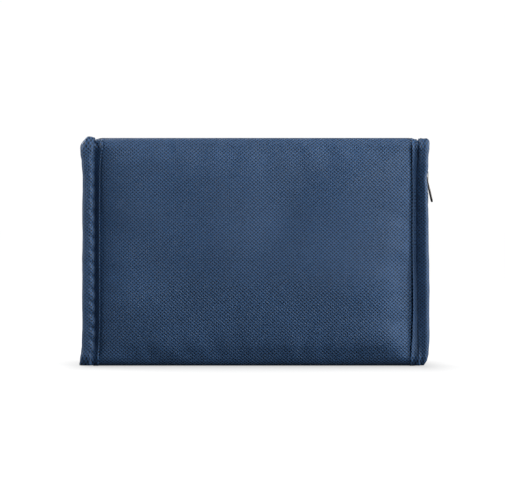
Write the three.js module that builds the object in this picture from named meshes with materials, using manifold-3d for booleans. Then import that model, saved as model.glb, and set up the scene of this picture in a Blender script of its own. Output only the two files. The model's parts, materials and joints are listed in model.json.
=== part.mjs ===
// A zip-around travel document organizer in navy nonwoven fabric, standing on its spine.
// Millimetres, +Z up. The origin is the middle of the spine's underside, -Y is the front
// cover and +X is the side where the two zip sliders meet. Two padded covers fold out from
// a flat base. A coil zip runs up one side, over the top and down the other side, and each
// half of it belongs to one cover.
import * as THREE from "three";
import { mergeVertices } from "three/addons/utils/BufferGeometryUtils.js";
import Module from "manifold-3d";

const wasm = await Module();
wasm.setup();

// Driving dimensions.
const WIDTH = 227.2; // across the two bound side edges
const HEIGHT = 149.6; // floor to the top fold
const DEPTH = 34; // front face to back face
const FIT_GAP = 0.3; // clearance between pieces that are sewn face to face
const SKIN = 0.8;
const FOAM = 2.5;
const LINING = 0.5;
const POCKET_CLOTH = 0.6;

// The fold line of each cover: a crease just inside the corner of the base. A cover laid
// back through a right angle rests its bound edges on the floor.
const CREASE_Y = 16;
const CREASE_Z = 2;

// Side bindings: a folded strip rolled round the raw edge, with a flat lip on the face.
const ROLL_WIDTH = 7.6;
const ROLL_DEPTH = 7;
const ROLL_RISE = 0.6; // how far the roll stands proud of the face
const LIP_WIDTH = 4.7;
const LIP_RISE = 1;
const LIP_THICK = 0.7;
const BINDING_TOP = 150.3;
const BINDING_FOOT = 0.3;
const BASE_ROLL_HEIGHT = 6.4;

// The zip: its tape stands back from the bindings, and turns the two top corners.
const TAPE_X = 108.8; // outer face of the tape on the sides
const TAPE_TOP = 147.9; // outer face of the tape on the top
const TAPE_THICK = 0.6;
const TAPE_CORNER = 8;
const TAPE_FOOT = 15;
const TAPE_EDGE = 0.6; // from the middle plane to the tape's free edge
const COIL_WIDTH = 2.5;
const COIL_THICK = 1.3;
const COIL_FOOT = 20;
const STOP_HEIGHT = 2.7;

// Sliders: each is placed by the pivot of its puller.
const PIVOT_X = 112.6;
const UPPER_PIVOT_Z = 124;
const LOWER_PIVOT_Z = 110;
const UPPER_PULLER_TILT = 12.5; // degrees away from the side, held off by the lower slider
const LOWER_PULLER_TILT = 0; // hangs straight down

const rad = THREE.MathUtils.degToRad;
const FACE_Y = -DEPTH / 2;
const FOAM_Y = FACE_Y + SKIN + FIT_GAP;
const LINING_Y = FOAM_Y + FOAM + FIT_GAP;
const POCKET_Y = LINING_Y + LINING + FIT_GAP;
const POCKET_STEP = POCKET_CLOTH + FIT_GAP;
const ROLL_X = WIDTH / 2 - ROLL_WIDTH; // inner side of the rolled edge
const LIP_X = ROLL_X - LIP_WIDTH;
const ROLL_BACK_Y = FACE_Y - ROLL_RISE + ROLL_DEPTH;
const TAPE_SEAM_Y = ROLL_BACK_Y + FIT_GAP;
const PANEL_FOOT = 6; // bottom edge of the foam inside a cover
const FOAM_HALF = LIP_X + 1.2; // the foam's sides are pinched under the lips
const FOAM_TOP = HEIGHT - 6.5;
const LEFT_FLARE = 1.6; // the left end of the spine's binding is trodden out on the floor

const cloth = (colour, roughness = 0.9) =>
  new THREE.MeshStandardMaterial({ color: colour, roughness, metalness: 0 });
const metal = (colour) =>
  new THREE.MeshStandardMaterial({ color: colour, roughness: 0.35, metalness: 1 });
const NAVY = cloth(0x3c4f69);
const NAVY_EDGE = cloth(0x344762);
const NAVY_LINING = cloth(0x2b3a52, 0.8);
const TAPE_NAVY = cloth(0x26344c, 0.75);
const COIL_NAVY = cloth(0x1b263a, 0.45);
const FOAM_WHITE = cloth(0xe8e8e4, 1);
const BOARD_BLACK = cloth(0x1c1d20, 0.6);
const ELASTIC = cloth(0x1d222c, 0.85);
const GUNMETAL = metal(0x4a4a4d);

// A closed solid made by extruding an outline drawn in (x, y), along +Z.
function extrude(outline, length, curveSegments = 6) {
  return new THREE.ExtrudeGeometry(outline, { depth: length, bevelEnabled: false, curveSegments });
}

// Turns an extrusion so that the outline's axes and the length lie along three given axes.
function along(geometry, right, up, forward) {
  return geometry.applyMatrix4(new THREE.Matrix4().makeBasis(right, up, forward));
}
const X = new THREE.Vector3(1, 0, 0);
const Y = new THREE.Vector3(0, 1, 0);
const Z = new THREE.Vector3(0, 0, 1);
const MINUS_Y = new THREE.Vector3(0, -1, 0);

// A block between two corners.
function block(low, high) {
  const size = high.map((h, i) => h - low[i]);
  const middle = high.map((h, i) => (h + low[i]) / 2);
  return new THREE.BoxGeometry(...size).translate(...middle);
}

function polygon(points) {
  return new THREE.Shape(points.map(([a, b]) => new THREE.Vector2(a, b)));
}

function solidOf(geometry) {
  const bare = new THREE.BufferGeometry().setAttribute("position", geometry.getAttribute("position"));
  bare.setIndex(geometry.index);
  const merged = mergeVertices(bare, 1e-3);
  const mesh = new wasm.Mesh({
    numProp: 3,
    vertProperties: merged.attributes.position.array,
    triVerts: new Uint32Array(merged.index.array),
  });
  return new wasm.Manifold(mesh);
}

function geometryOf(solid) {
  const mesh = solid.getMesh();
  const geometry = new THREE.BufferGeometry();
  geometry.setAttribute("position", new THREE.BufferAttribute(mesh.vertProperties, 3));
  geometry.setIndex(new THREE.BufferAttribute(mesh.triVerts, 1));
  return geometry;
}

function join(...geometries) {
  return geometryOf(geometries.map(solidOf).reduce((whole, next) => whole.add(next)));
}

function piece(name, geometry, material) {
  const mesh = new THREE.Mesh(geometry, material);
  mesh.name = name;
  return mesh;
}

// The outer cloth of a cover: the face, a rounded top fold and the narrow top wall.
function coverSkin() {
  const fold = 5;
  const half = ROLL_X - FIT_GAP;
  const foot = CREASE_Z;
  const outline = new THREE.Shape();
  outline.moveTo(FACE_Y, foot);
  outline.lineTo(FACE_Y + SKIN, foot);
  outline.lineTo(FACE_Y + SKIN, HEIGHT - fold);
  outline.absarc(FACE_Y + fold, HEIGHT - fold, fold - SKIN, Math.PI, Math.PI / 2, true);
  outline.lineTo(ROLL_BACK_Y, HEIGHT - SKIN);
  outline.lineTo(ROLL_BACK_Y, HEIGHT);
  outline.lineTo(FACE_Y + fold, HEIGHT);
  outline.absarc(FACE_Y + fold, HEIGHT - fold, fold, Math.PI / 2, Math.PI, false);
  outline.closePath();
  return along(extrude(outline, 2 * half), Y, Z, X).translate(-half, 0, 0);
}

// A flat layer parallel to the cover's face, from one depth to the next.
function layer(y, thickness, halfWidth, foot, top) {
  return block([-halfWidth, y, foot], [halfWidth, y + thickness, top]);
}

// The rolled edge with its lip, seen from above and pulled up to its full height.
function binding(side) {
  const corner = 2.2;
  const front = FACE_Y - ROLL_RISE;
  const lipFront = FACE_Y - LIP_RISE;
  const outer = WIDTH / 2;
  const outline = new THREE.Shape();
  outline.moveTo(LIP_X, lipFront);
  outline.lineTo(ROLL_X, lipFront);
  outline.lineTo(ROLL_X + corner, front);
  outline.lineTo(outer - corner, front);
  outline.absarc(outer - corner, front + corner, corner, -Math.PI / 2, 0, false);
  outline.absarc(outer - corner, ROLL_BACK_Y - corner, corner, 0, Math.PI / 2, false);
  outline.lineTo(ROLL_X, ROLL_BACK_Y);
  outline.lineTo(ROLL_X, lipFront + LIP_THICK);
  outline.lineTo(LIP_X, lipFront + LIP_THICK);
  outline.closePath();
  const strip = extrude(outline, BINDING_TOP - BINDING_FOOT, 4).translate(0, 0, BINDING_FOOT);
  // Half a turn about Y gives the other side without mirroring.
  return side > 0 ? strip : strip.rotateY(Math.PI).translate(0, 0, BINDING_TOP + BINDING_FOOT);
}

// A strip that goes up one side, over the top and down the other: `rise` is how far its
// outer face stands off the tape's own outer face.
function zipStrip(rise, thickness, foot, yFrom, yTo) {
  const outerX = TAPE_X + rise;
  const outerTop = TAPE_TOP + rise;
  const outerCorner = TAPE_CORNER + rise;
  const innerCorner = outerCorner - thickness;
  const turnX = outerX - outerCorner;
  const turnZ = outerTop - outerCorner;
  const outline = new THREE.Shape();
  outline.moveTo(outerX, foot);
  outline.absarc(turnX, turnZ, outerCorner, 0, Math.PI / 2, false);
  outline.absarc(-turnX, turnZ, outerCorner, Math.PI / 2, Math.PI, false);
  outline.lineTo(-outerX, foot);
  outline.lineTo(-outerX + thickness, foot);
  outline.absarc(-turnX, turnZ, innerCorner, Math.PI, Math.PI / 2, true);
  outline.absarc(turnX, turnZ, innerCorner, Math.PI / 2, 0, true);
  outline.lineTo(outerX - thickness, foot);
  outline.closePath();
  return along(extrude(outline, yTo - yFrom, 5), X, Z, MINUS_Y).translate(0, yTo, 0);
}

// A crimped stop that closes the end of one coil.
function coilStop(side) {
  const inner = side * (TAPE_X + FIT_GAP);
  const outer = side * (TAPE_X + FIT_GAP + COIL_THICK + 0.3);
  const low = [Math.min(inner, outer), -TAPE_EDGE - COIL_WIDTH - 0.3, COIL_FOOT - FIT_GAP - STOP_HEIGHT];
  const high = [Math.max(inner, outer), -TAPE_EDGE, COIL_FOOT - FIT_GAP];
  return block(low, high);
}

// What both covers have, drawn as the front one: the outside faces -Y.
function cover(name) {
  const group = new THREE.Group();
  const liningHalf = ROLL_X - 1;
  group.add(
    piece(`${name}_outer_skin`, coverSkin(), NAVY),
    piece(`${name}_foam`, layer(FOAM_Y, FOAM, FOAM_HALF, PANEL_FOOT, FOAM_TOP), FOAM_WHITE),
    piece(`${name}_lining`, layer(LINING_Y, LINING, liningHalf, PANEL_FOOT - 0.5, HEIGHT - 3.2), NAVY_LINING),
    piece(
      `${name}_zip_tape`,
      zipStrip(0, TAPE_THICK, TAPE_FOOT, TAPE_SEAM_Y, -TAPE_EDGE),
      TAPE_NAVY,
    ),
    piece(
      `${name}_zip_coil`,
      zipStrip(FIT_GAP + COIL_THICK, COIL_THICK, COIL_FOOT, -TAPE_EDGE - COIL_WIDTH, -TAPE_EDGE),
      COIL_NAVY,
    ),
  );
  return group;
}

// The sides are named as they lie on the finished object, so the back cover, which is
// turned half round, swaps them.
function coverEdges(name, sides) {
  const pieces = [];
  for (const [sideName, side] of Object.entries(sides)) {
    pieces.push(piece(`${name}_${sideName}_binding`, binding(side), NAVY_EDGE));
    pieces.push(piece(`${name}_${sideName}_zip_stop`, coilStop(side), GUNMETAL));
  }
  return pieces;
}

// A flat pocket: the cloth, and a folded trim along its mouth. `level` counts the layers
// of pocket that lie under it.
function pocket(name, level, left, right, foot, mouth) {
  const y = POCKET_Y + level * POCKET_STEP;
  const trim = 3;
  return [
    piece(name, block([left, y, foot], [right, y + POCKET_CLOTH, mouth - trim - FIT_GAP]), NAVY_LINING),
    piece(`${name}_trim`, block([left, y, mouth - trim], [right, y + POCKET_CLOTH, mouth]), NAVY_EDGE),
  ];
}

// An elastic loop for a pen, standing on the lining.
function penLoop() {
  const outer = 5.3;
  const inner = 4.6;
  const height = 25;
  const foot = 78;
  const ring = new THREE.Shape().absarc(0, 0, outer, 0, 2 * Math.PI, false);
  ring.holes.push(new THREE.Path().absarc(0, 0, inner, 0, 2 * Math.PI, true));
  return extrude(ring, height, 10).translate(-92, POCKET_Y + outer, foot);
}

function frontCover() {
  const group = cover("front");
  group.add(...coverEdges("front", { left: -1, right: 1 }));
  group.add(...pocket("document_pocket", 0, -82, 101, 6, 118));
  const cardLeft = 5;
  const cardRight = 98;
  ["lower", "middle", "upper"].forEach((place, i) => {
    const level = 3 - i;
    group.add(...pocket(`${place}_card_pocket`, level, cardLeft, cardRight, 8, 58 + 15 * i));
  });
  group.add(piece("pen_loop", penLoop(), ELASTIC));
  return group;
}

function backCover() {
  const group = cover("back");
  group.add(...coverEdges("back", { left: 1, right: -1 }));
  group.add(...pocket("ticket_pocket", 0, -101, 101, 6, 104));
  group.add(...pocket("passport_pocket", 1, -96, 2, 8, 88));
  group.rotation.z = Math.PI;
  return group;
}

// The spine that the organizer stands on: cloth, board, foam and lining, the rolled binding that
// crosses each of its short ends, and the tabs that close the sides under the zip.
function base() {
  const group = new THREE.Group();
  const rollHalfY = -ROLL_BACK_Y - 0.6;
  const boardFoot = SKIN + FIT_GAP;
  const boardThick = 1.2;
  const foamFoot = boardFoot + boardThick + FIT_GAP;
  const foamThick = 1;
  const liningFoot = foamFoot + foamThick + FIT_GAP;
  const innerHalfX = ROLL_X - 0.5;
  const skinHalfX = ROLL_X - FIT_GAP;
  group.add(
    piece("base_skin", block([-skinHalfX, -14, 0], [skinHalfX, 14, SKIN]), NAVY),
    piece(
      "base_board",
      block([-innerHalfX, -13, boardFoot], [innerHalfX, 13, boardFoot + boardThick]),
      BOARD_BLACK,
    ),
    piece(
      "base_foam",
      block([-innerHalfX, -12, foamFoot], [innerHalfX, 12, foamFoot + foamThick]),
      FOAM_WHITE,
    ),
    piece(
      "base_lining",
      block([-innerHalfX, -12, liningFoot], [innerHalfX, 12, liningFoot + LINING]),
      NAVY_LINING,
    ),
  );
  for (const [name, side, flare] of [["left", -1, LEFT_FLARE], ["right", 1, 0]]) {
    const rollWidth = ROLL_WIDTH + flare;
    const rollX = side * (ROLL_X + rollWidth / 2);
    const roll = baseRoll(2 * rollHalfY, rollWidth).translate(rollX, rollHalfY, 0);
    const inner = side * (TAPE_X - 2 * TAPE_THICK);
    const outer = side * TAPE_X;
    const tab = block(
      [Math.min(inner, outer), -rollHalfY, BASE_ROLL_HEIGHT + FIT_GAP],
      [Math.max(inner, outer), rollHalfY, TAPE_FOOT - FIT_GAP],
    );
    group.add(
      piece(`base_${name}_binding`, roll, NAVY_EDGE),
      piece(`${name}_zip_end_tab`, tab, NAVY_EDGE),
    );
  }
  return group;
}

// The roll across a short end of the spine: a rounded bar that runs along -Y from the origin.
function baseRoll(length, width) {
  const half = width / 2;
  const corner = 2.2;
  const top = BASE_ROLL_HEIGHT;
  const outline = new THREE.Shape();
  outline.moveTo(-half + corner, 0);
  outline.absarc(half - corner, corner, corner, -Math.PI / 2, 0, false);
  outline.absarc(half - corner, top - corner, corner, 0, Math.PI / 2, false);
  outline.absarc(-half + corner, top - corner, corner, Math.PI / 2, Math.PI, false);
  outline.absarc(-half + corner, corner, corner, Math.PI, 1.5 * Math.PI, false);
  outline.closePath();
  return along(extrude(outline, length, 4), X, Z, MINUS_Y);
}

// A slider, drawn about its puller's pivot: +X is away from the tape, and the wide end,
// where the two rows of coil part, points to +Z.
function sliderBody() {
  const plate = polygon([
    [-3.4, -6.7],
    [3.4, -6.7],
    [3.9, -1],
    [4.8, 2],
    [4.8, 5],
    [3.8, 6.7],
    [0.9, 6.7],
    [-0.9, 6.7],
    [-3.8, 6.7],
    [-4.8, 5],
    [-4.8, 2],
    [-3.9, -1],
  ]);
  const plateThick = 0.7;
  const topPlate = along(extrude(plate, plateThick), Y, Z, X).translate(-1.9, 0, 0);
  const underPlate = along(extrude(plate, plateThick), Y, Z, X).translate(-5.5, 0, 0);
  const post = block([-5.4, -0.3, 2.2], [-1.4, 0.3, 5.6]);
  const arch = polygon([
    [-1.6, -4.4],
    [0.3, -4.4],
    [1.2, -3.4],
    [1.2, 3.4],
    [0.3, 4.4],
    [-1.6, 4.4],
    [-1.6, 3.2],
    [0.2, 3.2],
    [0.8, 2.6],
    [0.8, -2.6],
    [0.2, -3.2],
    [-1.6, -3.2],
  ]);
  const bridgeWidth = 2;
  const bridge = along(extrude(arch, bridgeWidth), X, Z, MINUS_Y).translate(0, bridgeWidth / 2, 0);
  return join(topPlate, underPlate, post, bridge);
}

// A flat metal puller, drawn hanging down from its pivot, with the eye round the bridge.
function puller() {
  const length = 17;
  const eyeEnd = 0.45;
  const thick = 1;
  const outline = new THREE.Shape();
  outline.moveTo(-2.1, eyeEnd);
  outline.lineTo(-2.9, -8);
  outline.lineTo(-2.9, -length + 2.9);
  outline.absarc(0, -length + 2.9, 2.9, Math.PI, 2 * Math.PI, false);
  outline.lineTo(2.9, -8);
  outline.lineTo(2.1, eyeEnd);
  outline.closePath();
  const eye = new THREE.Path();
  eye.moveTo(-1.3, -eyeEnd);
  eye.lineTo(1.3, -eyeEnd);
  eye.lineTo(1.5, -5.6);
  eye.lineTo(-1.5, -5.6);
  eye.closePath();
  outline.holes.push(eye);
  return along(extrude(outline, thick), Y, Z, X).translate(-thick / 2, 0, 0);
}

// The upper slider's wide end looks down at the lower one, so the two meet head to head.
function slider(name, pivotZ, wideEndUp, pullerTilt) {
  const group = new THREE.Group();
  const body = piece(`${name}_slider`, sliderBody(), GUNMETAL);
  body.rotation.x = wideEndUp ? 0 : Math.PI;
  const tab = piece(`${name}_puller`, puller(), GUNMETAL);
  tab.rotation.y = -rad(pullerTilt);
  group.add(body, tab);
  group.position.set(PIVOT_X, 0, pivotZ);
  return group;
}

const organizer = new THREE.Group();
organizer.add(
  base(),
  frontCover(),
  backCover(),
  slider("upper", UPPER_PIVOT_Z, false, UPPER_PULLER_TILT),
  slider("lower", LOWER_PIVOT_Z, true, LOWER_PULLER_TILT),
);

export default organizer;
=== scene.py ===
# %% [markdown]
# # A zip-around travel document organizer
# The real object is a flat case of embossed navy nonwoven cloth. Two padded covers fold out
# from a spine, and a coil zip with two sliders closes the other three sides. It stands on
# its spine. Everything here is in metres, in the row's own frame: +X to the right, -Y out of
# the front cover, +Z up.

# %% Load the frame
import json
import math

import bmesh
import bpy
import numpy as np
from mathutils import Matrix, Vector, noise


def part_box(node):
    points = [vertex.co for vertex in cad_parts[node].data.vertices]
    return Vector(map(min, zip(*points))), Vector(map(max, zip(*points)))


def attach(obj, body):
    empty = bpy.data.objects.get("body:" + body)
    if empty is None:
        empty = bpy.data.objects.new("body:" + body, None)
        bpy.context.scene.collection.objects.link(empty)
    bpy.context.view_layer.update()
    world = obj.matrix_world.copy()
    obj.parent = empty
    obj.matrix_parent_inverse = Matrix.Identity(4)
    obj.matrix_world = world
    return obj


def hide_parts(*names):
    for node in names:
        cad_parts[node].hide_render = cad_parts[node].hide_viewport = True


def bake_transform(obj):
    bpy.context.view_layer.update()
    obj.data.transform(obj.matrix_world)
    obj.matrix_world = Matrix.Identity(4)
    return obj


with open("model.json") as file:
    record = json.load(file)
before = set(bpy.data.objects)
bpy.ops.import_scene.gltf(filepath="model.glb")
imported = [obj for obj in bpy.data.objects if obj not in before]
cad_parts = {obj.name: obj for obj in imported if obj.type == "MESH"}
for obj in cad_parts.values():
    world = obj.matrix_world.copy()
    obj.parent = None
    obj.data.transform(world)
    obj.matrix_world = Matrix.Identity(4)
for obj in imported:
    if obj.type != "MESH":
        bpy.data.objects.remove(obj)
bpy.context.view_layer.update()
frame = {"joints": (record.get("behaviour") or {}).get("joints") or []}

# %% [markdown]
# ## Measures
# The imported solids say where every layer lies, so each measure is read from a solid's box.
# Only things the solids leave out, such as a thread's thickness, are written as numbers.

# %% Read the measures from the solids
MM = 0.001
skin_low, skin_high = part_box("front_outer_skin")
FACE = -skin_low.y  # the covers' outer faces
SEAM = -skin_high.y  # where a cover ends and the zip begins
CLOTH_HALF = skin_high.x
TOP = skin_high.z

roll_low, roll_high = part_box("front_right_binding")
LIP_EDGE = roll_low.x
ROLL_EDGE = roll_high.x

tape_low, tape_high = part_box("front_zip_tape")
coil_low, coil_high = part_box("front_zip_coil")
_, lining_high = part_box("front_lining")
LINING_Y = -lining_high.y  # inner surface of the covers' lining
_, base_lining_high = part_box("base_lining")

hinges = {j["name"]: j for j in frame["joints"]}
print("cover faces at", round(FACE / MM, 1), "mm, zip seam at", round(SEAM / MM, 1), "mm")

# %% [markdown]
# ## Finishes
# A material is a small graph of nodes. The helper below adds a node, sets its sockets and
# joins it to others in one call, so that each finish can be read from top to bottom.


# %% A helper for material graphs
class Finish:
    """A material and short ways to add nodes to it."""

    def __init__(self, name, **surface):
        self.material = bpy.data.materials.new(name)
        self.material.use_nodes = True
        self.tree = self.material.node_tree
        self.surface = self.tree.nodes["Principled BSDF"]
        self.give(self.surface, surface)

    def give(self, node, inputs):
        for socket, value in inputs.items():
            target = node.inputs[socket]
            if isinstance(value, bpy.types.NodeSocket):
                self.tree.links.new(value, target)
            elif target.type == "RGBA" and len(value) == 3:
                target.default_value = (*value, 1.0)
            else:
                target.default_value = value

    def add(self, kind, inputs=None, **settings):
        node = self.tree.nodes.new("ShaderNode" + kind)
        for setting, value in settings.items():
            setattr(node, setting, value)
        self.give(node, inputs or {})
        return node

    def math(self, operation, *values):
        inputs = dict(enumerate(values))
        return self.add("Math", inputs, operation=operation).outputs[0]

    def ramp(self, value, low, high, to_low=0.0, to_high=1.0):
        node = self.add("MapRange", interpolation_type="SMOOTHSTEP")
        self.give(node, {0: value, 1: low, 2: high, 3: to_low, 4: to_high})
        return node.outputs[0]

    def noise(self, where, scale, detail=2.0, roughness=0.5):
        inputs = {"Vector": where, "Scale": scale, "Detail": detail, "Roughness": roughness}
        return self.add("TexNoise", inputs).outputs["Fac"]

    def mix(self, amount, a, b):
        node = self.add("Mix", data_type="RGBA")
        self.give(node, {0: amount, 6: a, 7: b})
        return node.outputs[2]

    def scale(self, vector, share):
        """A colour or a vector, times a number."""
        return self.add("VectorMath", {0: vector, "Scale": share}, operation="SCALE").outputs[0]

    def bump(self, height, depth):
        node = self.add("Bump", {"Height": height, "Distance": depth, "Strength": 1.0})
        self.give(self.surface, {"Normal": node.outputs[0]})

    def cut(self):
        """The place on the flat cut cloth, in metres."""
        return self.add("UVMap", uv_map="cut").outputs[0]

    def place(self):
        """The place on the object, for pieces without a flat cut."""
        return self.add("TexCoord").outputs["Object"]


def tone(colour, share):
    """The same colour, lighter or darker."""
    return tuple(c * share for c in colour)


print("finishes can be built")

# %% [markdown]
# ### Nonwoven cloth
# Nonwoven cloth is a felt of polypropylene fibres, bonded by hot pins that press rows of
# small dimples into it. The pins stand in staggered rows. Two cosines multiplied together
# peak at exactly such a staggered grid, so they draw the dimples, and a noise makes some
# deeper than others. The pattern reads the flat cut's own map, so it follows every fold.


# %% The nonwoven cloth finish
DIMPLE_ACROSS = 2.44 * MM
DIMPLE_ALONG = 2.27 * MM
DIMPLE_DEPTH = 0.26 * MM
ROW_WANDER = 0.14 * MM  # how far a dimple may stray from its row
FIBRE_SCALE = 2600.0
RAISED_TONE_AND_PAINTED_LIGHT = 1.9  # the raised cloth is lighter and the pressed dimples darker: partly their own colour, partly painted light and painted shade
PRESSED_TONE_AND_PAINTED_SHADE = 0.16


def nonwoven(name, colour):
    f = Finish(name, **{"Sheen Weight": 0.12, "Sheen Roughness": 0.4, "Sheen Tint": (0.85, 0.92, 1.0)})
    f.give(f.surface, {"Specular IOR Level": 0.55, "Specular Tint": (0.88, 0.96, 1.0)})
    where = f.cut()
    wander = f.add("TexNoise", {"Vector": where, "Scale": 180.0, "Detail": 1.0})
    shift = f.add("VectorMath", {0: wander.outputs["Color"], 1: (0.5,) * 3}, operation="SUBTRACT")
    stray = f.scale(shift.outputs[0], ROW_WANDER)
    moved = f.add("VectorMath", {0: where, 1: stray}, operation="ADD").outputs[0]
    axes = f.add("SeparateXYZ", {0: moved})
    across = f.math("COSINE", f.math("MULTIPLY", axes.outputs[0], 2 * math.pi / DIMPLE_ACROSS))
    along = f.math("COSINE", f.math("MULTIPLY", axes.outputs[1], 2 * math.pi / DIMPLE_ALONG))
    lattice = f.math("MULTIPLY", across, along)
    pressed = f.ramp(f.noise(where, 300.0, 1.0), 0.3, 0.7, 0.8, 1.0)
    dimple = f.math("MULTIPLY", f.ramp(lattice, -0.25, 0.6), pressed)
    fibres = f.noise(where, FIBRE_SCALE, 3.0, 0.75)
    cloud = f.ramp(f.noise(where, 28.0, 3.0), 0.3, 0.7, 0.93, 1.06)
    shade = f.math("MULTIPLY", f.ramp(fibres, 0.3, 0.75, 0.84, 1.18), cloud)
    # The dimples' colour: the pressed bonds' own darker tone together with painted shade, and painted light
    # on the raised cloth between them.
    base = f.mix(dimple, tone(colour, RAISED_TONE_AND_PAINTED_LIGHT), tone(colour, PRESSED_TONE_AND_PAINTED_SHADE))
    f.give(f.surface, {"Base Color": f.scale(base, shade)})
    f.give(f.surface, {"Roughness": f.ramp(dimple, 0.0, 1.0, 0.52, 0.44)})
    f.bump(f.math("SUBTRACT", f.math("MULTIPLY", fibres, 0.22), dimple), DIMPLE_DEPTH)
    return f.material


NAVY_CLOTH = nonwoven("navy nonwoven cloth", (0.0208, 0.0595, 0.142))
NAVY_BINDING = nonwoven("navy nonwoven binding", (0.0188, 0.055, 0.133))
print("dimples", round(DIMPLE_ACROSS / MM, 2), "by", round(DIMPLE_ALONG / MM, 2), "mm apart")

# %% [markdown]
# ### Plain woven linings, zip tape and elastic
# Woven cloth is two sets of threads that pass over and under each other. Two waves, one
# along each set, added together give the bump of a plain weave at the right thread count.
# Zip tape is woven in a fine twill, whose ribs run across the tape at a slant.

# %% The woven finishes
WEAVE_DEPTH = 0.08 * MM


def woven(name, colour, thread, slant=0.0, rough=0.6, ribs=1.0):
    """thread: the width of one thread. ribs: how fine the warp is beside the weft."""
    f = Finish(name, **{"Roughness": rough, "Sheen Weight": 0.3, "Sheen Roughness": 0.35})
    where = f.cut()
    axes = f.add("SeparateXYZ", {0: where})
    turn = 2 * math.pi / thread
    leaning = f.math("ADD", axes.outputs[1], f.math("MULTIPLY", axes.outputs[0], slant))
    warp = f.math("SINE", f.math("MULTIPLY", axes.outputs[0], turn * ribs))
    weft = f.math("SINE", f.math("MULTIPLY", leaning, turn))
    threads = f.math("MULTIPLY", f.math("ADD", warp, weft), 0.25)
    fuzz = f.noise(where, 3000.0, 2.0)
    cloud = f.ramp(f.noise(where, 40.0, 2.0), 0.3, 0.7, 0.9, 1.1)
    mixed = f.mix(f.ramp(threads, -0.45, 0.45), tone(colour, 0.6), tone(colour, 1.35))
    shade = f.math("MULTIPLY", cloud, f.ramp(fuzz, 0.2, 0.8, 0.9, 1.1))
    f.give(f.surface, {"Base Color": f.scale(mixed, shade)})
    f.bump(f.math("ADD", threads, f.math("MULTIPLY", fuzz, 0.2)), WEAVE_DEPTH)
    return f.material


LINING_CLOTH = woven("navy polyester lining", (0.022, 0.037, 0.07), 0.5 * MM, rough=0.5)
TAPE_CLOTH = woven("navy zip tape", (0.018, 0.032, 0.066), 0.75 * MM, slant=1.0)
ELASTIC_CLOTH = woven("ribbed elastic", (0.012, 0.016, 0.025), 1.1 * MM, ribs=0.35)
print("woven finishes made")

# %% [markdown]
# ### Thread, coil, metal, foam and board
# The zip's coil is a smooth polyester monofilament. The sliders and pullers are zinc with a
# dark plating that has fine tumbling scratches and wears lighter in spots.


# %% The small parts' finishes
def monofilament():
    f = Finish("navy monofilament", **{"Base Color": (0.012, 0.021, 0.046), "IOR": 1.57, "Coat Weight": 0.1})
    streaks = f.noise(f.place(), 900.0, 2.0)
    f.give(f.surface, {"Roughness": f.ramp(streaks, 0.3, 0.7, 0.26, 0.42)})
    return f.material


def thread(name, colour):
    f = Finish(name, **{"Roughness": 0.6, "Sheen Weight": 0.2})
    twist = f.add("TexWave", {"Vector": f.place(), "Scale": 900.0, "Distortion": 1.0})
    twist.bands_direction = "DIAGONAL"
    f.give(f.surface, {"Base Color": f.mix(twist.outputs["Fac"], tone(colour, 0.65), tone(colour, 1.3))})
    f.bump(twist.outputs["Fac"], 0.05 * MM)
    return f.material


def plated_metal():
    f = Finish("dark plated zinc", **{"Metallic": 1.0, "IOR": 1.5})
    where = f.place()
    squeeze = f.add("Mapping", {"Vector": where, "Scale": (1.0, 1.0, 0.12)}).outputs[0]
    scratches = f.noise(squeeze, 2400.0, 4.0, 0.65)
    patches = f.ramp(f.noise(where, 260.0, 3.0), 0.35, 0.7)
    f.give(f.surface, {"Base Color": f.mix(patches, (0.11, 0.1, 0.095), (0.19, 0.172, 0.16))})
    f.give(f.surface, {"Roughness": f.ramp(scratches, 0.3, 0.75, 0.24, 0.46)})
    f.bump(scratches, 0.01 * MM)
    return f.material


def grainy(name, colour, rough, scale, depth):
    f = Finish(name, **{"Roughness": rough})
    grain = f.noise(f.place(), scale, 4.0, 0.6)
    mixed = f.mix(f.ramp(grain, 0.3, 0.7), tone(colour, 0.82), tone(colour, 1.12))
    f.give(f.surface, {"Base Color": mixed})
    f.bump(grain, depth)
    return f.material


COIL_PLASTIC = monofilament()
NAVY_THREAD = thread("navy thread", (0.028, 0.048, 0.095))
GUNMETAL = plated_metal()
FOAM = grainy("white foam sheet", (0.78, 0.78, 0.75), 0.85, 900.0, 0.1 * MM)
BOARD = grainy("black fibre board", (0.013, 0.013, 0.014), 0.55, 1500.0, 0.05 * MM)
print("small parts' finishes made")

# %% [markdown]
# ## Cloth from a flat cut
# Every cloth piece starts as a flat grid, the way cloth is cut from a roll. The grid's flat
# place is kept as a UV map in metres, then the grid is laid into its folded shape. That
# keeps the embossed pattern the same size everywhere, and it lets each piece's area be
# compared with the cut.


# %% Helpers for flat cuts
def flat_cut(width, length, step_across, step_along):
    """A flat cloth: across is centred on 0, along starts at 0."""
    bm = bmesh.new()
    across = max(2, round(width / step_across))
    along = max(2, round(length / step_along))
    bmesh.ops.create_grid(bm, x_segments=across, y_segments=along, size=0.5)
    bmesh.ops.translate(bm, verts=bm.verts, vec=(0.0, 0.5, 0.0))
    bmesh.ops.scale(bm, verts=bm.verts, vec=(width, length, 1.0))
    cut = bm.loops.layers.uv.new("cut")
    for face in bm.faces:
        for loop in face.loops:
            loop[cut].uv = loop.vert.co.xy
    return bm


def lay(bm, place):
    """Moves every point of a flat cut to where place(across, along) says."""
    for vert in bm.verts:
        vert.co = place(vert.co.x, vert.co.y)


def half_turn(bm):
    """The back cover is the front one turned half round."""
    bmesh.ops.rotate(bm, verts=bm.verts, cent=(0, 0, 0), matrix=Matrix.Rotation(math.pi, 3, "Z"))


def make_piece(bm, name, material, smooth=True):
    """Turns a finished bmesh into an object with its material."""
    mesh = bpy.data.meshes.new(name)
    bm.to_mesh(mesh)
    bm.free()
    piece = bpy.data.objects.new(name, mesh)
    bpy.context.scene.collection.objects.link(piece)
    mesh.materials.append(material)
    for polygon in mesh.polygons:
        polygon.use_smooth = smooth
    return piece


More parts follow.
